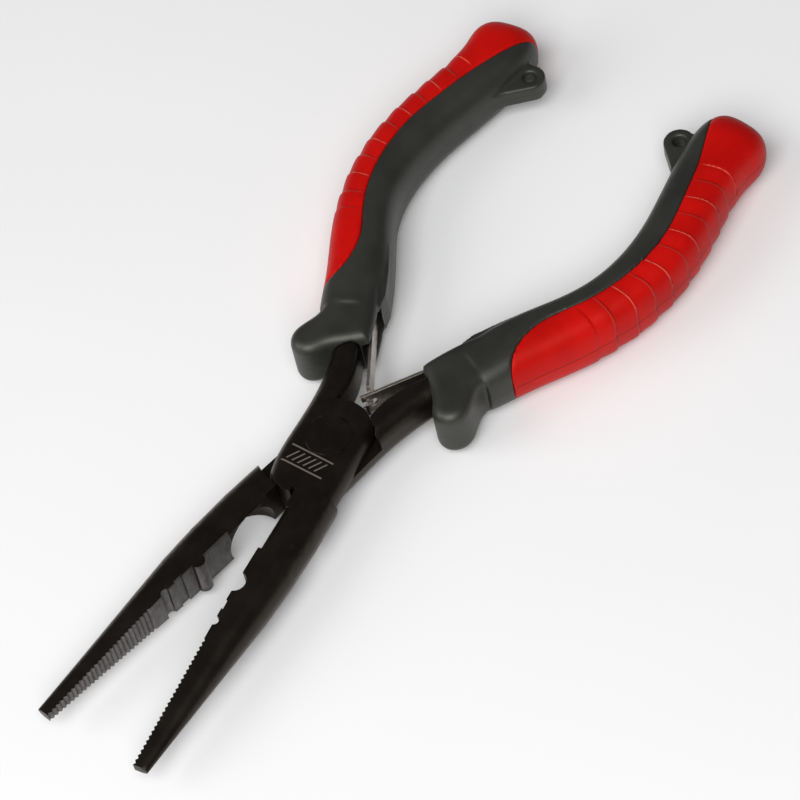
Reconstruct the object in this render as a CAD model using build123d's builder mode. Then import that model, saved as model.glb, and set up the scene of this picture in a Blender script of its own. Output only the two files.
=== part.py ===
"""Long-nose fishing pliers with a lap joint, interlocking leaf springs and two-shot grips.

Frame: +Z up along the pivot axis, +X along the nose, origin on the pivot axis, in the underside
of the joint.
Both levers are the same forging, one turned over, so one set of profiles draws both of them.
Profiles are drawn in the closed pose: jaw at -y, handle at +y.  The rest pose is open.
"""

import os
from math import cos, hypot, radians, sin

from build123d import *

os.makedirs("parts", exist_ok=True)

# ---- driving dimensions, millimetres and degrees ------------------------------------------
REST = 7.6            # each lever stands this far from the closed pose
HALF = 5.0            # half thickness of the joint and the jaw roots
LAP_GAP = 0.03        # each lap face stands this far from the middle plane
REAR_R = 10.0         # rear edge of a lap plate, centred on the pivot
FRONT_R = 16.2        # front edge of a lap plate, centred on the pivot
RECESS = 0.25         # clearance between a plate edge and the recess of the other lever
TIP_X = 86.6          # jaw tip from the pivot

# long edges of the joint and tang that are rounded: a spot on the edge, radius
RIM_ROUNDS = [((6.0, -8.3), 4.4), ((-25.0, 11.9), 3.6), ((-22.0, 4.6), 1.8)]

PIN_R = 3.5           # pivot rivet shank
PIN_HEAD_R = 5.3      # countersunk head, flush with both faces
PIN_HEAD_H = 1.8
PIN_FIT = 0.03        # running clearance in the upper lever

# jaw stations: distance from the pivot, width, half height, width of the flat top
JAW = [(13.8, 8.9, 5.0, 4.6), (24.0, 9.2, 5.0, 4.6), (35.0, 8.9, 5.0, 4.3), (45.0, 8.15, 4.8, 3.8),
       (56.0, 6.9, 3.85, 3.1), (70.0, 5.3, 2.55, 2.3), (TIP_X, 3.4, 1.1, 1.5)]

TOOTH_START = 55.4
TOOTH_PITCH = 1.16
TOOTH_DEPTH = 0.42
CRIMP_SMALL = (50.8, 1.1)      # small round crimp notch: place, radius
CRIMP_FLAT = (46.6, 2.6, 0.4)  # shallow crimp notch: place, width, depth
CRIMP_MALE = (40.8, 1.7)       # half-round former on the lower jaw
CRIMP_FEMALE = (40.8, 0.6, 2.5)
CUTTER = (19.8, 31.5)          # cutter span along the jaw
CUTTER_HOLLOW = (25.6, -3.0, 6.7)  # ball-shaped hollow under the edges: place, height, radius
CUTTER_EDGE_Z = 3.6
OUTER_NICKS = [(35.0, -8.1, 3.45), (39.7, -7.8, 3.4), (44.3, -7.5, 3.35)]  # x, y, height
NICK_R = 1.0

# leaf springs: anchor point in the handle, slope, and stations along the strip
ANCHOR = (-44.0, 12.1)
LEAF_ANGLE = 25.0
LEAF_T = 0.7
LEAF_HALF_H = 3.0
LEAF_REAR = -4.0
FORK_END = 34.6
FORK_SLOT = 31.0
FORK_SLOT_H = 1.15
NECK_START = 31.0
NECK_H = 0.8
HEAD_START = 34.2
HEAD_END = 35.2
HEAD_H = 1.9
STUD_R = 1.25
STUD_HEAD_R = 2.2
STUD_HEAD_T = 0.8
STUD_GAP = 0.15
STUD_DEPTH = 3.4
LEAF_HOLE_R = 1.6
# pocket in the grip: start, end along the strip, depth across it
SLOT = [(-6.0, 25.0, 1.9), (-6.0, 25.0, -1.75), (11.0, 27.0, -6.0)]

# grip stations: centre line x, y, half width, half height
GRIP = [(-33.0, 12.6, 7.2, 7.0), (-40.0, 15.0, 7.4, 7.4), (-48.0, 18.1, 7.5, 7.7), (-56.0, 21.7, 7.2, 7.9),
        (-64.0, 24.2, 7.0, 8.0), (-72.0, 25.2, 7.1, 7.9), (-80.0, 24.9, 7.3, 7.8), (-88.0, 23.4, 7.4, 7.7),
        (-96.0, 21.0, 7.5, 7.6), (-104.0, 18.4, 7.6, 7.5), (-112.0, 16.6, 8.1, 7.5), (-117.6, 16.3, 8.1, 7.2),
        (-120.8, 16.3, 6.8, 5.8), (-122.2, 16.3, 4.6, 3.8)]
SECTION_POWER = 2.8   # 2 would be a plain ellipse
COVER_T = 1.8         # wall of the red cover
END_ROUND = 1.2
GUARD_HALF_H = 6.6

LUG = (-110.4, 6.2)
LUG_R = 3.7
LUG_HOLE_R = 1.6
LUG_HALF_T = 2.4

COVER_EDGE = [(-33.2, 26.0), (-36.2, 21.2), (-40.5, 18.7), (-45.0, 18.0), (-50.0, 18.5), (-56.8, 21.3),
              (-66.5, 24.4), (-76.7, 25.2), (-86.3, 23.9), (-95.1, 20.9), (-104.0, 17.4), (-111.0, 13.8),
              (-118.0, 10.0), (-127.0, 5.5)]

LOWER = 1
UPPER = -1


# ---- frames -------------------------------------------------------------------------------
def lever_frame(side):
    """Closed-pose drawing plane of one lever, set in the open rest pose."""
    turn = radians(REST)
    return Plane(origin=(0, 0, HALF), x_dir=(cos(turn), -side * sin(turn), 0), z_dir=(0, 0, side))


def local_plane(side, origin, x_dir, z_dir):
    """A plane given in the drawing coordinates of one lever."""
    return Plane(lever_frame(side).location * Plane(origin=origin, x_dir=x_dir, z_dir=z_dir).location)


def level(side, height):
    return lever_frame(side).offset(height)


def leaf_point(along, across=0.0):
    turn = radians(LEAF_ANGLE)
    x = ANCHOR[0] + along * cos(turn) + across * sin(turn)
    y = ANCHOR[1] - along * sin(turn) + across * cos(turn)
    return (x, y)


def leaf_plane(side, across=0.0):
    """Plane of the strip: x runs along it from the anchor, y is the pivot direction."""
    turn = radians(LEAF_ANGLE)
    origin = (*leaf_point(0, across), 0)
    return local_plane(side, origin, (cos(turn), -sin(turn), 0), (sin(turn), cos(turn), 0))


# ---- levers -------------------------------------------------------------------------------
def jaw_section(side, station):
    x, width, half, flat = station
    steps = [radians(90 + 30 * k) for k in range(7)]
    bend = [(-flat + (width - flat) * cos(a), half * sin(a)) for a in steps]
    ways = [(-(width - flat) * sin(a), half * cos(a)) for a in steps]
    with BuildSketch(local_plane(side, (x, 0, 0), (0, 1, 0), (1, 0, 0))) as section:
        with BuildLine():
            Polyline((-flat, half), (0, half), (0, -half), (-flat, -half))
            Spline(*bend, tangents=ways)
        make_face()
    return section.sketch


def joint_outline(side):
    """Lap plate and bare tang seen from above, up to the tongue inside the grip."""
    rear_low = (-REAR_R * cos(radians(52)), -REAR_R * sin(radians(52)))
    rear_high = (-REAR_R * cos(radians(19)), REAR_R * sin(radians(19)))
    front_high = (FRONT_R * cos(radians(29)), FRONT_R * sin(radians(29)))
    front_mid = (FRONT_R * cos(radians(14)), FRONT_R * sin(radians(14)))
    with BuildSketch(level(side, 0)) as plan:
        with BuildLine():
            ThreePointArc(rear_low, (-REAR_R, 0), rear_high)
            Spline(rear_high, (-14.0, 2.9), (-18.5, 3.5), (-25.0, 5.9), (-33.0, 9.1), (-44.0, 13.3))
            Line((-44.0, 13.3), (-46.5, 19.2))
            Spline((-46.5, 19.2), (-36.0, 15.4), (-25.0, 11.9), (-14.0, 9.7), (-2.0, 9.2), (8.5, 9.1), front_high)
            ThreePointArc(front_high, front_mid, (FRONT_R, 0))
            Polyline((FRONT_R, 0), (18.5, 0), (18.5, -8.6), rear_low)
        make_face()
    return plan.sketch


def tongue_outline(side):
    with BuildSketch(level(side, 0)) as plan:
        with BuildLine():
            Spline((-42.0, 13.0), (-50.0, 16.8), (-60.0, 20.9), (-71.0, 22.6), (-82.0, 22.0), (-95.0, 18.6))
            Line((-95.0, 18.6), (-93.8, 22.4))
            Spline((-93.8, 22.4), (-82.0, 25.8), (-71.0, 26.6), (-58.0, 24.6), (-50.0, 21.3), (-43.0, 18.2))
            Line((-43.0, 18.2), (-42.0, 13.0))
        make_face()
    return plan.sketch


def cut_through(shape):
    extrude(shape, amount=HALF + 1, both=True, mode=Mode.SUBTRACT)


def lever_body(side):
    """Forging common to both levers."""
    extrude(joint_outline(side), amount=HALF, both=True)
    for spot, radius in RIM_ROUNDS:
        fillet(edges().sort_by_distance(lever_frame(side).from_local_coords((*spot, HALF)))[0], radius=radius)
        fillet(edges().sort_by_distance(lever_frame(side).from_local_coords((*spot, -HALF)))[0], radius=radius)
    for first, second in zip(JAW, JAW[1:]):
        loft([jaw_section(side, first), jaw_section(side, second)], ruled=True)
    extrude(tongue_outline(side), amount=3.0, both=True)


def lap_recess(side):
    """The top half of the joint is cleared for the plate of the other lever."""
    with BuildSketch(level(side, -LAP_GAP)) as recess:
        Circle(REAR_R + RECESS)
        with BuildLine():
            Line((0, -FRONT_R - RECESS), (0, FRONT_R + RECESS))
            ThreePointArc((0, FRONT_R + RECESS), (FRONT_R + RECESS, 0), (0, -FRONT_R - RECESS))
        make_face()
        with Locations((-3.0, 12.0)):
            Rectangle(7.0, 12.0)
    extrude(recess.sketch, amount=HALF + 1, mode=Mode.SUBTRACT)


def pivot_hole(side, gap):
    """Bore and countersink for the rivet; the plate lies below the middle plane."""
    with BuildSketch(level(side, 0)) as bore:
        Circle(PIN_R + gap)
    cut_through(bore.sketch)
    with BuildSketch(level(side, -HALF)) as rim:
        Circle(PIN_HEAD_R + gap)
    with BuildSketch(level(side, -HALF + PIN_HEAD_H)) as throat:
        Circle(PIN_R + gap)
    loft([rim.sketch, throat.sketch], mode=Mode.SUBTRACT)


def teeth(side):
    count = int((TIP_X + 1 - TOOTH_START) / TOOTH_PITCH) + 1
    points = [(TOOTH_START, 1.0), (TOOTH_START, 0.0)]
    for i in range(count):
        start = TOOTH_START + i * TOOTH_PITCH
        points.append((start + TOOTH_PITCH * 0.45, -TOOTH_DEPTH))
        points.append((start + TOOTH_PITCH * 0.9, 0.0))
        points.append((start + TOOTH_PITCH, 0.0))
    points.append((points[-1][0], 1.0))
    with BuildSketch(level(side, 0)) as row:
        with BuildLine():
            Polyline(*points, close=True)
        make_face()
    cut_through(row.sketch)


def crimp_notches(side):
    with BuildSketch(level(side, 0)) as notches:
        with Locations((CRIMP_SMALL[0], 0.15)):
            Circle(CRIMP_SMALL[1])
        with Locations((CRIMP_FLAT[0], 0)):
            Trapezoid(CRIMP_FLAT[1], 2 * CRIMP_FLAT[2], 60)
    cut_through(notches.sketch)


def cutter(side):
    """Straight cutting edge, hollow ground from the lower face, bevelled from the upper one."""
    place, height, radius = CUTTER_HOLLOW
    spot = lever_frame(side).from_local_coords((place, 0.3, side * height))
    with Locations(spot):
        Sphere(radius, mode=Mode.SUBTRACT)
    length = CUTTER[1] - CUTTER[0]
    with BuildSketch(local_plane(side, (CUTTER[0], 0, 0), (0, 1, 0), (1, 0, 0))) as bevel:
        with BuildLine():
            Polyline((1.0, side * CUTTER_EDGE_Z), (0, side * CUTTER_EDGE_Z), (-1.5, side * HALF),
                     (-1.5, side * (HALF + 1)), (1.0, side * (HALF + 1)), close=True)
        make_face()
    extrude(bevel.sketch, amount=length, mode=Mode.SUBTRACT)


def stud_hole(side):
    with BuildSketch(leaf_plane(side, LEAF_T / 2 + STUD_GAP)) as bore:
        Circle(STUD_R)
    extrude(bore.sketch, amount=STUD_DEPTH, mode=Mode.SUBTRACT)


with BuildPart() as lower_lever:
    lever_body(LOWER)
    lap_recess(LOWER)
    pivot_hole(LOWER, 0.0)
    teeth(LOWER)
    crimp_notches(LOWER)
    cutter(LOWER)
    with BuildSketch(level(LOWER, 0)):
        with Locations((CRIMP_MALE[0], 0)):
            Circle(CRIMP_MALE[1])
    extrude(amount=4.75, both=True)
    with Locations(*[lever_frame(LOWER).from_local_coords(spot) for spot in OUTER_NICKS]):
        Sphere(NICK_R, mode=Mode.SUBTRACT)
    stud_hole(LOWER)

with BuildPart() as upper_lever:
    lever_body(UPPER)
    lap_recess(UPPER)
    pivot_hole(UPPER, PIN_FIT)
    teeth(UPPER)
    crimp_notches(UPPER)
    cutter(UPPER)
    with BuildSketch(level(UPPER, 0)):
        with Locations(CRIMP_FEMALE[:2]):
            Circle(CRIMP_FEMALE[2])
        with Locations((0.5 * (CUTTER[1] + 15.0), 0.35)):
            Rectangle(CUTTER[1] - 15.0, 1.0)
    extrude(amount=HALF + 1, both=True, mode=Mode.SUBTRACT)
    stud_hole(UPPER)

with BuildPart() as pivot_rivet:
    with BuildSketch(Plane.XY.offset(HALF)):
        Circle(PIN_R)
    extrude(amount=HALF, both=True)
    for end in (-1, 1):
        with BuildSketch(Plane.XY.offset(HALF + end * HALF)):
            Circle(PIN_HEAD_R)
        with BuildSketch(Plane.XY.offset(HALF + end * (HALF - PIN_HEAD_H))):
            Circle(PIN_R)
        loft()


# ---- leaf springs ---------------------------------------------------------------------------
def strip(side, start, end, half_height):
    with BuildSketch(leaf_plane(side)) as face:
        with Locations((0.5 * (start + end), 0)):
            Rectangle(end - start, 2 * half_height)
    extrude(face.sketch, amount=LEAF_T / 2, both=True)


def leaf_hole(side):
    with BuildSketch(leaf_plane(side)) as hole:
        Circle(LEAF_HOLE_R)
    extrude(hole.sketch, amount=LEAF_T, both=True, mode=Mode.SUBTRACT)


with BuildPart() as lower_leaf_spring:
    strip(LOWER, LEAF_REAR, FORK_END, LEAF_HALF_H)
    with BuildSketch(leaf_plane(LOWER)):
        with Locations((FORK_SLOT + FORK_SLOT_H, 0)):
            Circle(FORK_SLOT_H)
        with Locations((FORK_SLOT + FORK_SLOT_H + 3, 0)):
            Rectangle(6, 2 * FORK_SLOT_H)
    extrude(amount=LEAF_T, both=True, mode=Mode.SUBTRACT)
    leaf_hole(LOWER)

with BuildPart() as upper_leaf_spring:
    strip(UPPER, LEAF_REAR, NECK_START, LEAF_HALF_H)
    strip(UPPER, NECK_START - 1, HEAD_END, NECK_H)
    strip(UPPER, HEAD_START, HEAD_END, HEAD_H)
    leaf_hole(UPPER)


def stud(side):
    """Rivet that holds a leaf to the tang: shank in the tang, head inside the grip slot."""
    inner = LEAF_T / 2 + STUD_GAP
    with BuildSketch(leaf_plane(side, -inner - STUD_HEAD_T)) as head:
        Circle(STUD_HEAD_R)
    extrude(head.sketch, amount=STUD_HEAD_T)
    with BuildSketch(leaf_plane(side, -inner)) as shank:
        Circle(STUD_R)
    extrude(shank.sketch, amount=2 * inner + STUD_DEPTH)


with BuildPart() as lower_spring_rivet:
    stud(LOWER)

with BuildPart() as upper_spring_rivet:
    stud(UPPER)


# ---- grips ----------------------------------------------------------------------------------
def grip_section(side, index, inset):
    """Rounded section square to the centre line of the grip."""
    x, y, wide, high = GRIP[index]
    before = GRIP[max(index - 1, 0)]
    after = GRIP[min(index + 1, len(GRIP) - 1)]
    run = (after[0] - before[0], after[1] - before[1])
    size = hypot(*run)
    along = (run[0] / size, run[1] / size, 0)
    across = (-along[1], along[0], 0)
    points = []
    for k in range(16):
        a = radians(22.5 * k + 11.25)
        u = abs(cos(a)) ** (2 / SECTION_POWER) * (wide - inset) * (1 if cos(a) > 0 else -1)
        v = abs(sin(a)) ** (2 / SECTION_POWER) * (high - inset) * (1 if sin(a) > 0 else -1)
        points.append((u, v))
    with BuildSketch(local_plane(side, (x, y, 0), across, along)) as section:
        with BuildLine():
            Spline(*points, periodic=True)
        make_face()
    return section.sketch


def grip_tube(side, inset=0.0):
    loft([grip_section(side, index, inset) for index in range(len(GRIP))])


def round_tail(side, radius):
    tail = [e for e in edges() if lever_frame(side).to_local_coords(e).center().X < -121.5]
    fillet(tail, radius=radius)


def guard(side):
    with BuildPart(mode=Mode.PRIVATE) as block:
        with BuildSketch(level(side, 0)):
            with BuildLine():
                Spline((-40.0, 8.6), (-33.0, 5.7), (-26.2, 3.9))
                Spline((-26.2, 3.9), (-23.2, 8.4), (-20.8, 11.8), (-18.2, 14.1), (-17.2, 16.8), (-18.4, 19.5),
                       (-21.4, 20.8), (-24.8, 19.9), (-28.5, 18.2), (-33.5, 18.3), (-40.0, 19.8))
                Line((-40.0, 19.8), (-40.0, 8.6))
            make_face()
        extrude(amount=GUARD_HALF_H, both=True)
        rims = [e for e in block.edges() if abs(abs(e.center().Z - HALF) - GUARD_HALF_H) < 0.01]
        rims = [e for e in rims if lever_frame(side).to_local_coords(e).center().X > -39.9]
        fillet(rims, radius=2.5)
    return block.part


def panel(side):
    """Raised pad on the inner side, over the spring anchor."""
    with BuildSketch(level(side, 0)) as pad:
        with BuildLine():
            Polyline((-36.2, 6.3), (-39.4, 6.7), (-46.0, 9.3), (-52.0, 12.2), (-55.0, 14.4), (-54.0, 19.0),
                     (-38.0, 14.0), close=True)
        make_face()
    extrude(pad.sketch, amount=4.6, both=True)


def lug(side):
    with BuildSketch(level(side, 0)) as ear:
        with BuildLine():
            Polyline((-92.0, 17.5), (-98.5, 13.4), (-103.6, 9.4), (-107.4, 4.1), (-110.4, 6.2), (-114.0, 7.0),
                     (-115.5, 13.0), (-104.0, 17.0), close=True)
        make_face()
        with Locations(LUG):
            Circle(LUG_R)
    extrude(ear.sketch, amount=LUG_HALF_T, both=True)
    with BuildSketch(level(side, 0)) as hole:
        with Locations(LUG):
            Circle(LUG_HOLE_R)
    cut_through(hole.sketch)


def spring_slot(side):
    """Pocket round the strip, its rivet and its travel, open towards the other handle in front."""
    for start, end, depth in SLOT:
        with BuildSketch(leaf_plane(side)) as mouth:
            with Locations((0.5 * (start + end), 0)):
                Rectangle(end - start, 2 * LEAF_HALF_H + 0.8)
        extrude(mouth.sketch, amount=depth, mode=Mode.SUBTRACT)


def cover_region(side):
    with BuildSketch(level(side, 0)) as plan:
        with BuildLine():
            edge = Spline(*COVER_EDGE)
            Polyline(edge @ 1, (-127.0, 40.0), (-32.0, 40.0), edge @ 0)
        make_face()
    extrude(plan.sketch, amount=12.0, both=True, mode=Mode.INTERSECT)


def cover(side):
    grip_tube(side)
    round_tail(side, END_ROUND)
    cover_region(side)
    with BuildPart(mode=Mode.PRIVATE) as inside:
        loft([grip_section(side, index, COVER_T) for index in range(len(GRIP) - 1)])
    add(inside.part, mode=Mode.SUBTRACT)


def core(side, cover_part, lever_part, stud_part):
    grip_tube(side)
    round_tail(side, END_ROUND)
    add(guard(side))
    panel(side)
    lug(side)
    add(cover_part, mode=Mode.SUBTRACT)
    add(lever_part, mode=Mode.SUBTRACT)
    add(stud_part, mode=Mode.SUBTRACT)
    spring_slot(side)


with BuildPart() as lower_grip_cover:
    cover(LOWER)

with BuildPart() as upper_grip_cover:
    cover(UPPER)

with BuildPart() as lower_grip_core:
    core(LOWER, lower_grip_cover.part, lower_lever.part, lower_spring_rivet.part)

with BuildPart() as upper_grip_core:
    core(UPPER, upper_grip_cover.part, upper_lever.part, upper_spring_rivet.part)


# ---- export -----------------------------------------------------------------------------------
lower_lever.part.label = "lower_lever"
export_step(lower_lever.part, "parts/lower_lever.step")
upper_lever.part.label = "upper_lever"
export_step(upper_lever.part, "parts/upper_lever.step")
pivot_rivet.part.label = "pivot_rivet"
export_step(pivot_rivet.part, "parts/pivot_rivet.step")
lower_leaf_spring.part.label = "lower_leaf_spring"
export_step(lower_leaf_spring.part, "parts/lower_leaf_spring.step")
upper_leaf_spring.part.label = "upper_leaf_spring"
export_step(upper_leaf_spring.part, "parts/upper_leaf_spring.step")
lower_spring_rivet.part.label = "lower_spring_rivet"
export_step(lower_spring_rivet.part, "parts/lower_spring_rivet.step")
upper_spring_rivet.part.label = "upper_spring_rivet"
export_step(upper_spring_rivet.part, "parts/upper_spring_rivet.step")
lower_grip_core.part.label = "lower_grip_core"
export_step(lower_grip_core.part, "parts/lower_grip_core.step")
upper_grip_core.part.label = "upper_grip_core"
export_step(upper_grip_core.part, "parts/upper_grip_core.step")
lower_grip_cover.part.label = "lower_grip_cover"
export_step(lower_grip_cover.part, "parts/lower_grip_cover.step")
upper_grip_cover.part.label = "upper_grip_cover"
export_step(upper_grip_cover.part, "parts/upper_grip_cover.step")
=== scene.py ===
# %% [markdown]
# # Fishing pliers
# Two forged levers cross in a lap joint and turn on one rivet. Two thin leaf springs hook into each
# other between the handles and push them apart. Each handle is a two-shot moulding: a dark hard core
# with a finger guard and a lanyard ear, and a soft red cover with shingled ridges under the palm.
# The CAD model is the frame: every piece below is made from, and stays inside, its CAD node.

import math

import bmesh
import bpy
import numpy as np
from mathutils import Matrix, Vector


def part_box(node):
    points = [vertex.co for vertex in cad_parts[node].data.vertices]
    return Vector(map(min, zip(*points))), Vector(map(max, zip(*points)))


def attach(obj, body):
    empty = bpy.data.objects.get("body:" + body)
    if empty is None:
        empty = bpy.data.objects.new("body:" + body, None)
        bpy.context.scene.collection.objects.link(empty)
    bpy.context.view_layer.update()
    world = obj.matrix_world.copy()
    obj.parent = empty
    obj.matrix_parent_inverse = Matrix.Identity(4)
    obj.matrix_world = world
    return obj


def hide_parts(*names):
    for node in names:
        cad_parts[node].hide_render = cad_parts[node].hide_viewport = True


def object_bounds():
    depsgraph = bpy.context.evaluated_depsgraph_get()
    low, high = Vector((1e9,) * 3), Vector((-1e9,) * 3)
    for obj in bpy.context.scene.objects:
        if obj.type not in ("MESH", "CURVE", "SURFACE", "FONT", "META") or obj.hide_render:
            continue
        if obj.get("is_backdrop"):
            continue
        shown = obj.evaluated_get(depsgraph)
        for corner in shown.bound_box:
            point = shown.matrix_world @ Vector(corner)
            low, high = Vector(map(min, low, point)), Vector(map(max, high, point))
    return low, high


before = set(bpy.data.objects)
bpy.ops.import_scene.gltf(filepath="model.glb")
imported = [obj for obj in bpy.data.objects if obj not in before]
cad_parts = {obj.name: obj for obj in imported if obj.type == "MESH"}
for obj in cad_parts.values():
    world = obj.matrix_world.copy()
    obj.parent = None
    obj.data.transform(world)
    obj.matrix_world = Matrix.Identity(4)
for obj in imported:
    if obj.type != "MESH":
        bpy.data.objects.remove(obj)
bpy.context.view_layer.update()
MM = 0.001
print("nodes", sorted(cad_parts))

# %% [markdown]
# ## Lever coordinates
# Both levers are one forging, the upper one turned over, so everything is described once in the
# coordinates of a lever: x along its nose, y towards its handle side, z out of the joint. In the open
# rest pose each lever stands REST degrees from the closed one. The matrix below takes metres in the
# row frame to millimetres of a lever, and numpy applies it to all the points of a mesh at once.

# %% lever coordinates
REST = math.radians(7.6)
MID_Z = 5.0
LOWER, UPPER = 1, -1


def to_lever(points, side):
    """Row frame in metres to the coordinates of one lever in millimetres."""
    p = np.asarray(points, float) / MM
    x = p[:, 0] * math.cos(REST) - side * p[:, 1] * math.sin(REST)
    y = p[:, 0] * math.sin(REST) + side * p[:, 1] * math.cos(REST)
    return np.stack([x, y, side * (p[:, 2] - MID_Z)], 1)


def turn_to_lever(vectors, side):
    """The same for directions."""
    v = np.asarray(vectors, float)
    x = v[:, 0] * math.cos(REST) - side * v[:, 1] * math.sin(REST)
    y = v[:, 0] * math.sin(REST) + side * v[:, 1] * math.cos(REST)
    return np.stack([x, y, side * v[:, 2]], 1)


tip = to_lever([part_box("lower_lever")[1]], LOWER)[0]
print("far corner of the lower lever, lever coordinates", np.round(tip, 1))

# %% [markdown]
# ## Shader arithmetic
# A finish is mostly arithmetic on coordinates and noise. `Sock` wraps one socket of a shader tree, and
# adding, multiplying or comparing socks adds the matching node, so a finish reads like a formula.

# %% shader arithmetic


class Sock:
    """One value in a shader tree."""

    def __init__(self, tree, out):
        self.tree = tree
        self.out = out

    def make(self, kind, settings, sockets, out=0):
        """Any node: its type, its settings, then what goes into its sockets."""
        node = self.tree.nodes.new(kind)
        for name, value in settings.items():
            setattr(node, name, value)
        for key, value in sockets.items():
            if isinstance(value, Sock):
                self.tree.links.new(value.out, node.inputs[key])
            else:
                node.inputs[key].default_value = value
        return Sock(self.tree, node.outputs[out])

    def math(self, operation, *others):
        sockets = {0: self}
        for index, other in enumerate(others):
            sockets[index + 1] = other
        return self.make("ShaderNodeMath", {"operation": operation}, sockets)

    def __add__(self, other):
        return self.math("ADD", other)

    def __radd__(self, other):
        return self.math("ADD", other)

    def __sub__(self, other):
        return self.math("SUBTRACT", other)

    def __rsub__(self, other):
        return self.math("MULTIPLY", -1.0).math("ADD", other)

    def __mul__(self, other):
        return self.math("MULTIPLY", other)

    def __rmul__(self, other):
        return self.math("MULTIPLY", other)

    def __truediv__(self, other):
        return self.math("DIVIDE", other)

    def __abs__(self):
        return self.math("ABSOLUTE")

    def fract(self):
        return self.math("FRACT")

    def wave(self):
        return self.math("SINE")

    def low(self, other):
        return self.math("MINIMUM", other)

    def ramp(self, start, end):
        """0 before start, 1 after end, smooth between them. start may lie after end."""
        sockets = {0: self, 1: start, 2: end, 3: 0.0, 4: 1.0}
        settings = {"interpolation_type": "SMOOTHSTEP", "clamp": True}
        return self.make("ShaderNodeMapRange", settings, sockets)

    def axis(self, name):
        return self.make("ShaderNodeSeparateXYZ", {}, {0: self}, out="XYZ".index(name))

    def stretch(self, factors):
        return self.make("ShaderNodeVectorMath", {"operation": "MULTIPLY"}, {0: self, 1: factors})

    def noise(self, scale, detail=3.0, roughness=0.55, distortion=0.0):
        sockets = {"Vector": self, "Scale": scale, "Detail": detail, "Roughness": roughness,
                   "Distortion": distortion}
        return self.make("ShaderNodeTexNoise", {"noise_dimensions": "3D"}, sockets)

    def cells(self, scale):
        return self.make("ShaderNodeTexVoronoi", {"feature": "F1"}, {"Vector": self, "Scale": scale})

    def tint(self, first, second):
        """A colour between first and second; this sock is the share of the second."""
        sockets = {0: self, 6: first, 7: second}
        return self.make("ShaderNodeMix", {"data_type": "RGBA"}, sockets, out=2)


def colour(r, g, b):
    return (r, g, b, 1.0)


class Finish:
    """A material with a Principled shader and the coordinates its formulas start from."""

    def __init__(self, name):
        self.material = bpy.data.materials.new(name)
        self.material.use_nodes = True
        tree = self.material.node_tree
        self.shader = tree.nodes["Principled BSDF"]
        self.tree = tree
        start = Sock(tree, None)
        # object coordinates, in millimetres
        self.place = start.make("ShaderNodeTexCoord", {}, {}, out=3).stretch((1000.0, 1000.0, 1000.0))
        self.start = start

    def attribute(self, name, out=2):
        return self.start.make("ShaderNodeAttribute", {"attribute_name": name}, {}, out=out)

    def set(self, **sockets):
        for name, value in sockets.items():
            socket = self.shader.inputs[name.replace("_", " ")]
            if isinstance(value, Sock):
                self.tree.links.new(value.out, socket)
            else:
                socket.default_value = value

    def bump(self, height, distance, strength=1.0):
        sockets = {"Height": height, "Distance": distance * MM, "Strength": strength}
        self.set(Normal=self.start.make("ShaderNodeBump", {}, sockets))


# %% [markdown]
# ## Finishes
# The forging is black oxide over a tumbled surface: almost black, slightly warm, with a fine grain, a
# mottled sheen and paler handling wear. The gripping faces were ground after the oxide, so they are
# greyer and carry fine lines across the jaw. The plate of the joint carries a small laser mark, two
# bars with a row of slanted strokes between them.

# %% black steel
# the mark, millimetres: its place along the nose, clear of the rivet head, half length and half
# distance of the two bars, and pitch of the strokes
MARK_X, MARK_HALF, MARK_RAIL, MARK_PITCH = 7.9, 5.6, 2.2, 1.5
MARK_SLANT = 0.55
PLATE_TOP = 9.6


def steel_mark(finish):
    """1 on the strokes of the laser mark on the upper plate."""
    x = finish.place.axis("X") - MARK_X
    y = finish.place.axis("Y")
    top = finish.place.axis("Z").ramp(PLATE_TOP, PLATE_TOP + 0.2)
    inside = abs(y).ramp(MARK_HALF, MARK_HALF - 0.12)
    rails = abs(abs(x) - MARK_RAIL).ramp(0.24, 0.14)
    along = y + x * MARK_SLANT
    slant = (along / MARK_PITCH).fract() - 0.5
    strokes = abs(slant).ramp(0.16, 0.10) * abs(x).ramp(1.45, 1.35) * abs(along).ramp(4.3, 4.2)
    return (rails * inside + strokes).low(1.0) * top


def black_steel():
    f = Finish("black_oxide_steel")
    mottle = f.place.noise(0.16, 4.0, 0.6)
    grain = f.place.noise(2.6, 5.0, 0.65)
    smear = f.place.stretch((0.35, 1.0, 1.0)).noise(0.7, 3.0, 0.6)
    pits = f.place.cells(1.1).ramp(0.16, 0.02) * mottle.ramp(0.52, 0.62)
    wear = smear.ramp(0.62, 0.78) * 0.5
    mark = steel_mark(f)
    base = mottle.ramp(0.3, 0.7).tint(colour(0.0035, 0.0026, 0.0021), colour(0.0075, 0.0058, 0.0047))
    base = wear.tint(base, colour(0.016, 0.0135, 0.0115))
    base = (mark * 0.8).tint(base, colour(0.19, 0.165, 0.145))
    rough = mottle * 0.16 + grain * 0.10 + 0.22 + wear * 0.1 + mark * 0.25
    f.set(Base_Color=base, Roughness=rough, Metallic=0.2, Specular_IOR_Level=0.42,
          Specular_Tint=colour(1.0, 0.84, 0.70))
    f.bump(grain * 0.5 + mottle * 1.2 - pits * 1.4 - mark * 0.5, 0.045, 0.55)
    return f.material


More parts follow.
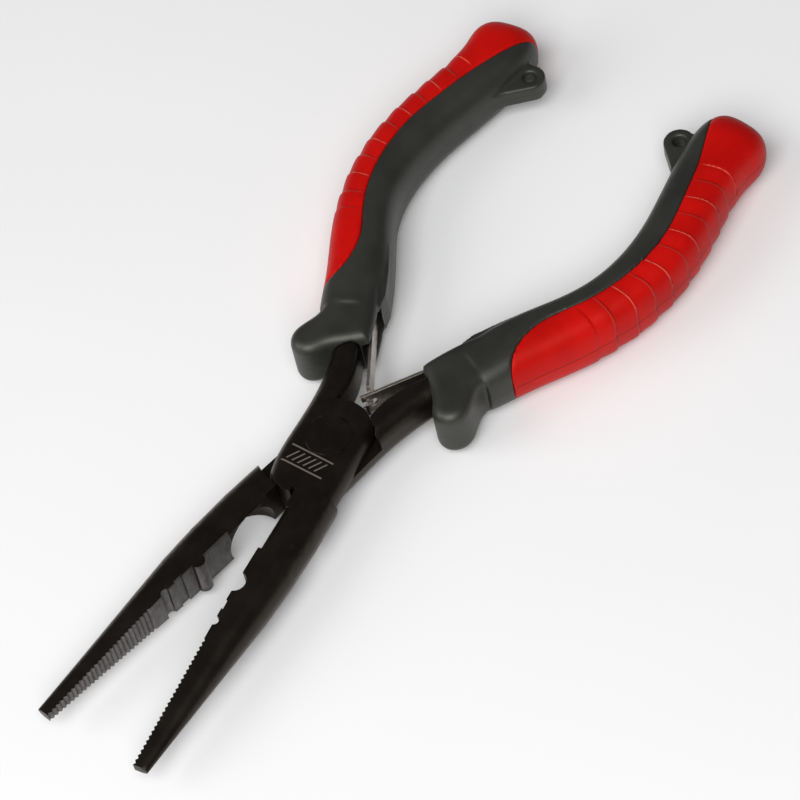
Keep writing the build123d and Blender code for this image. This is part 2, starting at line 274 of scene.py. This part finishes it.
def ground_steel():
    f = Finish("ground_steel")
    along = f.attribute("lever", out=1).axis("X")
    high = f.attribute("lever", out=1).axis("Z")
    lines = (f.attribute("lever", out=1).stretch((9.0, 0.2, 0.25))).noise(1.0, 4.0, 0.7)
    stain = f.place.noise(0.5, 4.0, 0.6)
    fine = (along * 21.0 + stain * 9.0).wave() * 0.5 + 0.5
    rim = abs(high).ramp(3.2, 4.8)
    shade = (lines * 0.7 + stain * 0.45 - rim * 0.12).ramp(0.3, 0.85)
    base = shade.tint(colour(0.055, 0.050, 0.048), colour(0.21, 0.195, 0.19))
    f.set(Base_Color=base, Roughness=lines * 0.2 + 0.36, Metallic=0.75, Specular_IOR_Level=0.5)
    f.bump(lines * 0.8 + fine * 0.5 + stain * 0.4, 0.05, 0.6)
    return f.material


BLACK = black_steel()
GROUND = ground_steel()
print("finishes", BLACK.name, GROUND.name)

# %% [markdown]
# The springs are bare rolled strip: bright, warm and brushed along their length.
# Their rivets share it; the pivot rivet is ground flush and wears the finish of the levers.

# %% spring steel


def spring_steel():
    f = Finish("spring_steel")
    brush = f.place.stretch((0.3, 0.3, 6.0)).noise(1.6, 4.0, 0.7)
    cloud = f.place.noise(0.35, 3.0, 0.6)
    base = cloud.ramp(0.35, 0.7).tint(colour(0.44, 0.39, 0.33), colour(0.62, 0.56, 0.49))
    base = brush.ramp(0.6, 0.8).tint(base, colour(0.30, 0.25, 0.20))
    f.set(Base_Color=base, Roughness=brush * 0.25 + 0.2, Metallic=1.0)
    f.bump(brush, 0.02, 0.5)
    return f.material


SPRING = spring_steel()

# %% [markdown]
# The core is a hard, fine-textured nylon: dark grey with a trace of green, spark-eroded all over, and a
# thin flash line at mid height where the mould halves met. The cover is a soft red elastomer, smoother,
# with the same flash line; its ridge lips get a painted highlight and the folds behind them painted shade.

# %% grip plastics
FLASH_HALF = 0.13


def flash_line(finish):
    """1 on the thin line that the mould leaves at mid height."""
    height = abs(finish.place.axis("Z") - MID_Z)
    return height.ramp(FLASH_HALF * 1.7, FLASH_HALF * 0.6)


def dark_grip():
    f = Finish("dark_core_plastic")
    texture = f.place.noise(5.5, 3.0, 0.7)
    cloud = f.place.noise(0.12, 3.0, 0.5)
    scuff = f.place.stretch((1.0, 1.0, 0.5)).noise(1.3, 5.0, 0.7).ramp(0.66, 0.8)
    flash = flash_line(f)
    base = cloud.ramp(0.3, 0.7).tint(colour(0.017, 0.0175, 0.0150), colour(0.026, 0.0265, 0.0230))
    base = (scuff * 0.4).tint(base, colour(0.060, 0.060, 0.054))
    base = (flash * 0.6).tint(base, colour(0.010, 0.011, 0.010))
    f.set(Base_Color=base, Roughness=texture * 0.16 + 0.36 + scuff * 0.1, Specular_IOR_Level=0.5,
          Specular_Tint=colour(1.0, 1.0, 0.9))
    f.bump(texture * 0.45 - flash * 1.6 + cloud * 0.5, 0.05, 0.5)
    return f.material


def red_grip():
    f = Finish("red_cover_elastomer")
    texture = f.place.noise(4.5, 3.0, 0.65)
    cloud = f.place.noise(0.10, 3.0, 0.5)
    dust = f.place.noise(0.9, 4.0, 0.65)
    phase = f.attribute("ridge")
    on = f.attribute("ridged")
    step = phase.fract()
    second = (phase * 0.5).fract().ramp(0.49, 0.51)
    high = abs(f.place.axis("Z") - MID_Z).ramp(1.0, 6.5)
    # painted highlight on the ridge lips, stronger on every second ridge and away from mid height
    lip = step.ramp(0.88, 0.95) * step.ramp(1.0, 0.985) * on * (second * 0.6 + 0.25) * (high * 0.8 + 0.2)
    # painted shade in the crease behind each lip
    painted_fold_shade = step.ramp(0.09, 0.0) * on
    flash = flash_line(f)
    base = cloud.ramp(0.3, 0.7).tint(colour(0.43, 0.0022, 0.0016), colour(0.53, 0.0036, 0.0024))
    base = (dust.ramp(0.55, 0.8) * 0.12).tint(base, colour(0.30, 0.010, 0.008))
    # the pale lip colour is painted highlight; the dark tint below is painted shade in the folds plus the
    # darker flash line
    base = lip.tint(base, colour(0.95, 0.13, 0.09))
    base = ((painted_fold_shade * 0.4 + flash * 0.85).low(1.0)).tint(base, colour(0.15, 0.002, 0.002))
    f.set(Base_Color=base, Roughness=texture * 0.12 + 0.38 + dust * 0.06, Specular_IOR_Level=0.22,
          Specular_Tint=colour(1.0, 0.55, 0.45))
    f.bump(texture * 0.25 - flash * 1.5 + cloud * 0.6, 0.05, 0.45)
    return f.material


CORE = dark_grip()
RED = red_grip()

# %% [markdown]
# ## Metal pieces
# A CAD node arrives as loose triangles. Each metal piece is a merged copy of its node with its edges
# broken by a small bevel, because a dead sharp edge catches no light and tumbled forgings have none.

# %% metal pieces
RIVET_RIM = 5.6
# three nicks on the outer edge of the lower jaw show bright metal: their places, and how far it reaches
NICKS = [(35.0, -8.1, 3.45), (39.7, -7.8, 3.4), (44.3, -7.5, 3.35)]
NICK_R = 1.1
SHARP = 35.0        # degrees: a sharper edge is broken by a bevel
GROUND_FACING = 0.45  # how squarely a ground face looks at the other jaw
GROUND_START = 31.4   # the gripping faces start here along the jaw
GROUND_DEPTH = -2.2   # and lie above this height in the jaw


def merged_copy(node, name):
    """A copy of a CAD node with its loose triangles joined."""
    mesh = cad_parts[node].data.copy()
    mesh.name = name
    mesh.materials.clear()
    made = bmesh.new()
    made.from_mesh(mesh)
    bmesh.ops.remove_doubles(made, verts=made.verts, dist=2e-6)
    bmesh.ops.dissolve_degenerate(made, edges=made.edges, dist=1e-6)
    bmesh.ops.recalc_face_normals(made, faces=made.faces)
    made.to_mesh(mesh)
    made.free()
    piece = bpy.data.objects.new(name, mesh)
    bpy.context.scene.collection.objects.link(piece)
    return piece


def bake(piece):
    """Turns the piece and its modifiers into a plain mesh."""
    graph = bpy.context.evaluated_depsgraph_get()
    graph.update()
    mesh = bpy.data.meshes.new_from_object(piece.evaluated_get(graph))
    piece.modifiers.clear()
    piece.data = mesh
    return piece


def read(mesh, what, count=3):
    rows = np.zeros(len(getattr(mesh, what)) * count)
    key = {"vertices": "co", "polygons": "center"}[what]
    getattr(mesh, what).foreach_get(key, rows)
    return rows.reshape(-1, count)


def face_normals(mesh):
    rows = np.zeros(len(mesh.polygons) * 3)
    mesh.polygons.foreach_get("normal", rows)
    return rows.reshape(-1, 3)


def store(mesh, name, values, kind="FLOAT"):
    layer = mesh.attributes.new(name, kind, "POINT")
    field = "vector" if kind == "FLOAT_VECTOR" else "value"
    layer.data.foreach_set(field, np.ravel(values).astype(np.float32))


def shade(mesh, angle):
    mesh.shade_smooth()
    mesh.set_sharp_from_angle(angle=math.radians(angle))


def break_edges(mesh):
    """Marks the edges to bevel: the sharp ones, but not the rim of the rivet, which is ground flush."""
    made = bmesh.new()
    made.from_mesh(mesh)
    weight = made.edges.layers.float.new("bevel_weight_edge")
    for edge in made.edges:
        middle = (edge.verts[0].co + edge.verts[1].co) / 2
        staked = math.hypot(middle.x, middle.y) < RIVET_RIM * MM
        edge[weight] = 1.0 if edge.calc_face_angle(0.0) > math.radians(SHARP) and not staked else 0.0
    made.to_mesh(mesh)
    made.free()


def metal(node, name, body, side, edge, materials):
    piece = merged_copy(node, name)
    for material in materials:
        piece.data.materials.append(material)
    shade(piece.data, 30)
    break_edges(piece.data)
    bevel = piece.modifiers.new("edge", "BEVEL")
    bevel.width = edge * MM
    bevel.segments = 2
    bevel.limit_method = "WEIGHT"
    bevel.use_clamp_overlap = True
    bake(piece)
    shade(piece.data, 40)
    flat = piece.modifiers.new("flat", "WEIGHTED_NORMAL")
    flat.keep_sharp = True
    bake(piece)
    store(piece.data, "lever", to_lever(read(piece.data, "vertices"), side), "FLOAT_VECTOR")
    if len(materials) > 1:
        centre = to_lever(read(piece.data, "polygons"), side)
        facing = turn_to_lever(face_normals(piece.data), side)[:, 1]
        ground = (facing > GROUND_FACING) & (centre[:, 0] > GROUND_START) & (centre[:, 1] > GROUND_DEPTH)
        for nick in NICKS if side == LOWER else ():
            ground |= np.linalg.norm(centre - nick, axis=1) < NICK_R
        piece.data.polygons.foreach_set("material_index", ground.astype(np.int32))
        print(name, "ground faces", int(ground.sum()))
    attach(piece, body)
    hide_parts(node)
    print(name, len(piece.data.polygons), "faces")
    return piece


SLOTS = {"steel": "black_steel", "spring": "spring_steel", "core": "dark_grip", "cover": "red_grip"}
for side, half, leaf in ((LOWER, "lower_half", "lower_leaf"), (UPPER, "upper_half", "upper_leaf")):
    which = "lower" if side == LOWER else "upper"
    lever = metal(which + "_lever", which + "_forging", half, side, 0.18, [BLACK, GROUND])
    strip = metal(which + "_leaf_spring", which + "_leaf", leaf, side, 0.08, [SPRING])
    stud = metal(which + "_spring_rivet", which + "_stud", half, side, 0.12, [SPRING])
rivet = metal("pivot_rivet", "joint_rivet", "lower_half", LOWER, 0.06, [BLACK])

# %% [markdown]
# ## Grips
# The mouldings have no sharp edge anywhere: guard, ear, pad and pocket all flow into the body. A fine
# voxel skin over the CAD solid followed by a few rounds of smoothing gives those blends in one go, and
# it rounds the core and the cover apart from each other, which leaves the fine groove at their joint.

# %% soft copies of the grip solids
VOXEL = 0.34
CENTRE = [(-33.0, 12.6), (-40.0, 15.0), (-48.0, 18.1), (-56.0, 21.7), (-64.0, 24.2), (-72.0, 25.2),
          (-80.0, 24.9), (-88.0, 23.4), (-96.0, 21.0), (-104.0, 18.4), (-112.0, 16.6), (-122.2, 16.3)]


def soft_copy(node, name, rounds):
    piece = merged_copy(node, name)
    skin = piece.modifiers.new("skin", "REMESH")
    skin.mode = "VOXEL"
    skin.voxel_size = VOXEL * MM
    smooth = piece.modifiers.new("soften", "SMOOTH")
    smooth.factor = 0.5
    smooth.iterations = rounds
    bake(piece)
    piece.data.shade_smooth()
    return piece


def path_values(points):
    """Distance along the centre line of a grip, and distance across it, for points of a lever."""
    knots = np.array(CENTRE)
    length = np.concatenate([[0], np.cumsum(np.hypot(*np.diff(knots, axis=0).T))])
    fine = np.linspace(0, length[-1], 400)
    line = np.stack([np.interp(fine, length, knots[:, 0]), np.interp(fine, length, knots[:, 1])], 1)
    for _ in range(60):
        line[1:-1] = 0.25 * line[:-2] + 0.5 * line[1:-1] + 0.25 * line[2:]
    way = np.gradient(line, axis=0)
    way /= np.hypot(way[:, 0], way[:, 1])[:, None]
    run = np.zeros(len(points))
    across = np.zeros(len(points))
    for start in range(0, len(points), 4000):
        part = points[start:start + 4000, :2]
        gap = ((part[:, None, :] - line[None]) ** 2).sum(2)
        near = gap.argmin(1)
        offset = part - line[near]
        run[start:start + 4000] = fine[near] + (offset * way[near]).sum(1)
        across[start:start + 4000] = offset[:, 1] * -way[near, 0] + offset[:, 0] * way[near, 1]
    return run, across


pieces = {}
for side, half in ((LOWER, "lower_half"), (UPPER, "upper_half")):
    which = "lower" if side == LOWER else "upper"
    core = soft_copy(which + "_grip_core", which + "_core", 8)
    core.data.materials.append(CORE)
    pieces[which + "_core"] = (core, half, which + "_grip_core", SLOTS["core"])
    cover = soft_copy(which + "_grip_cover", which + "_cover", 5)
    points = to_lever(read(cover.data, "vertices"), side)
    run, across = path_values(points)
    store(cover.data, "run", run)
    store(cover.data, "across", across)
    store(cover.data, "lift", points[:, 2])
    pieces[which + "_cover"] = (cover, half, which + "_grip_cover", SLOTS["cover"])
    print(which, "core", len(core.data.polygons), "cover", len(cover.data.polygons))

# %% [markdown]
# ## Ridges
# The palm side of the cover is shingled: each ridge rises slowly towards the end of the handle and
# drops at a lip. The lips bow backwards between the crest and the flash line, and every second one is
# deeper. A Geometry Nodes tree presses the profile into the cover, because the ridges follow a path:
# the distance along the handle, less the bow, divided by the pitch is the phase, and its fraction is
# the height of the ridge there. The phase is stored for the painted highlight on the lips and shade in the
# folds.

# %% ridges on the covers
RIDGE_START, RIDGE_PITCH, RIDGE_COUNT = 25.6, 4.98, 10
RIDGE_DEPTH, RIDGE_BOW = 0.36, 0.8


class Field:
    """The same idea as Sock, for Geometry Nodes."""

    def __init__(self, tree, out):
        self.tree = tree
        self.out = out

    def make(self, kind, settings, sockets, out=0):
        node = self.tree.nodes.new(kind)
        for name, value in settings.items():
            setattr(node, name, value)
        for key, value in sockets.items():
            if isinstance(value, Field):
                self.tree.links.new(value.out, node.inputs[key])
            else:
                node.inputs[key].default_value = value
        return Field(self.tree, node.outputs[out])

    def math(self, operation, *others):
        sockets = {0: self}
        for index, other in enumerate(others):
            sockets[index + 1] = other
        return self.make("ShaderNodeMath", {"operation": operation}, sockets)

    def __add__(self, other):
        return self.math("ADD", other)

    def __sub__(self, other):
        return self.math("SUBTRACT", other)

    def __mul__(self, other):
        return self.math("MULTIPLY", other)

    def __truediv__(self, other):
        return self.math("DIVIDE", other)

    def __abs__(self):
        return self.math("ABSOLUTE")

    def ramp(self, start, end):
        sockets = {0: self, 1: start, 2: end, 3: 0.0, 4: 1.0}
        settings = {"interpolation_type": "SMOOTHSTEP", "clamp": True}
        return self.make("ShaderNodeMapRange", settings, sockets)


def ridge_tree():
    tree = bpy.data.node_groups.new("shingled_ridges", "GeometryNodeTree")
    face = tree.interface
    face.new_socket("Geometry", in_out="INPUT", socket_type="NodeSocketGeometry")
    sizes = {"Start": RIDGE_START, "Pitch": RIDGE_PITCH, "Count": RIDGE_COUNT, "Depth": RIDGE_DEPTH,
             "Bow": RIDGE_BOW}
    for name, value in sizes.items():
        face.new_socket(name, in_out="INPUT", socket_type="NodeSocketFloat").default_value = value
    face.new_socket("Finish", in_out="INPUT", socket_type="NodeSocketMaterial")
    face.new_socket("Geometry", in_out="OUTPUT", socket_type="NodeSocketGeometry")
    source = tree.nodes.new("NodeGroupInput")
    given = {socket.name: Field(tree, socket) for socket in source.outputs if socket.name}
    field = Field(tree, None)
    named = {}
    for name in ("run", "across", "lift"):
        named[name] = field.make("GeometryNodeInputNamedAttribute", {"data_type": "FLOAT"}, {"Name": name})
    beside = named["across"].math("MAXIMUM", 0.0)
    around = beside.math("ARCTAN2", abs(named["lift"])) / (math.pi / 2)
    bow = (around * math.pi).math("SINE") * given["Bow"] + around * 0.5
    phase = (named["run"] - given["Start"] - bow) / given["Pitch"]
    step = phase.math("FRACT")
    rise = step.ramp(0.0, 0.9) * step.ramp(1.0, 0.93)
    second = (phase * 0.5).math("FRACT").math("GREATER_THAN", 0.5)
    size = given["Depth"] * (second * 0.4 + 0.6)
    span = phase.ramp(0.0, 0.05) * (phase - given["Count"]).ramp(0.0, -0.02)
    outer = named["across"].ramp(-0.5, 2.0)
    amount = (rise - 1.0) * size * span * outer * MM
    normal = field.make("GeometryNodeInputNormal", {}, {})
    push = field.make("ShaderNodeVectorMath", {"operation": "SCALE"}, {0: normal, "Scale": amount})
    moved = field.make("GeometryNodeSetPosition", {}, {"Geometry": given["Geometry"], "Offset": push})
    kept = field.make("GeometryNodeStoreNamedAttribute", {"data_type": "FLOAT", "domain": "POINT"},
                      {"Geometry": moved, "Name": "ridge", "Value": phase})
    kept = field.make("GeometryNodeStoreNamedAttribute", {"data_type": "FLOAT", "domain": "POINT"},
                      {"Geometry": kept, "Name": "ridged", "Value": span * outer})
    real = field.make("GeometryNodeRealizeInstances", {}, {"Geometry": kept})
    last = field.make("GeometryNodeSetMaterial", {}, {"Geometry": real, "Material": given["Finish"]})
    tree.links.new(last.out, tree.nodes.new("NodeGroupOutput").inputs[0])
    return tree


def set_inputs(modifier, values):
    for item in modifier.node_group.interface.items_tree:
        if item.in_out == "INPUT" and item.name in values:
            modifier[item.identifier] = values[item.name]


RIDGES = ridge_tree()
for which in ("lower", "upper"):
    cover = pieces[which + "_cover"][0]
    shaper = cover.modifiers.new("ridges", "NODES")
    shaper.node_group = RIDGES
    set_inputs(shaper, {"Finish": RED})
    bake(cover)
    cover.data.shade_smooth()

for name, (piece, body, node, finish_slot) in pieces.items():
    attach(piece, body)
    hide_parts(node)
    print(name, "triangles", sum(len(p.vertices) - 2 for p in piece.data.polygons))

# %% [markdown]
# ## Stage, light and camera
# The pliers lie on a pale table under one very large soft light with a dimmer one across from it. Black
# steel is drawn by what it mirrors, so the bright table and the big lamp do most of the modelling. The
# camera is far away with a long lens, which keeps the two handles nearly the same size.

# %% table


def table():
    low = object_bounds()[0][2]
    mesh = bpy.data.meshes.new("table")
    size = 3.0
    corners = [(-size, -size, low), (size, -size, low), (size, size, low), (-size, size, low)]
    mesh.from_pydata(corners, [], [(0, 1, 2, 3)])
    top = bpy.data.objects.new("table", mesh)
    bpy.context.scene.collection.objects.link(top)
    f = Finish("table_paper")
    cloud = f.place.noise(0.01, 2.0, 0.5)
    f.set(Base_Color=cloud.tint(colour(0.86, 0.86, 0.86), colour(0.90, 0.90, 0.90)), Roughness=0.9)
    f.bump(f.place.noise(1.2, 3.0, 0.5), 0.02, 0.2)
    mesh.materials.append(f.material)
    top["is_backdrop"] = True
    return top


table()

# %% light


def lamp(name, place, target, size, power, warmth):
    data = bpy.data.lights.new(name, "AREA")
    data.shape = "RECTANGLE"
    data.size, data.size_y = size
    data.energy = power
    data.color = warmth
    holder = bpy.data.objects.new(name, data)
    bpy.context.scene.collection.objects.link(holder)
    holder.location = place
    holder.rotation_euler = (Vector(target) - Vector(place)).to_track_quat("-Z", "Y").to_euler()
    return holder


lamp("overhead", (0.75, 0.45, 1.1), (0.0, 0.0, 0.0), (1.1, 1.1), 22.0, (1.0, 1.0, 1.0))
lamp("side", (0.9, -0.8, 0.8), (0.0, 0.0, 0.0), (0.9, 0.9), 8.0, (1.0, 0.99, 0.98))
world = bpy.data.worlds.new("studio")
world.use_nodes = True
world.node_tree.nodes["Background"].inputs["Color"].default_value = (0.95, 0.97, 1.0, 1.0)
world.node_tree.nodes["Background"].inputs["Strength"].default_value = 0.12
bpy.context.scene.world = world
bpy.context.scene.view_settings.view_transform = "Standard"

# %% camera
EYE = Vector((0.2912, 0.3305, 0.5925))
AIM = Vector((-0.0181, 0.0056, 0.0050))
ROLL = math.radians(-13.8)


def camera():
    data = bpy.data.cameras.new("camera")
    data.lens = 151.5
    data.sensor_width = 36.0
    holder = bpy.data.objects.new("camera", data)
    bpy.context.scene.collection.objects.link(holder)
    ahead = (AIM - EYE).normalized()
    right = ahead.cross(Vector((0, 0, 1))).normalized()
    up = right.cross(ahead)
    x = right * math.cos(ROLL) + up * math.sin(ROLL)
    y = up * math.cos(ROLL) - right * math.sin(ROLL)
    turn = Matrix((x, y, -ahead)).transposed().to_4x4()
    holder.matrix_world = Matrix.Translation(EYE) @ turn
    return holder


bpy.context.scene.camera = camera()
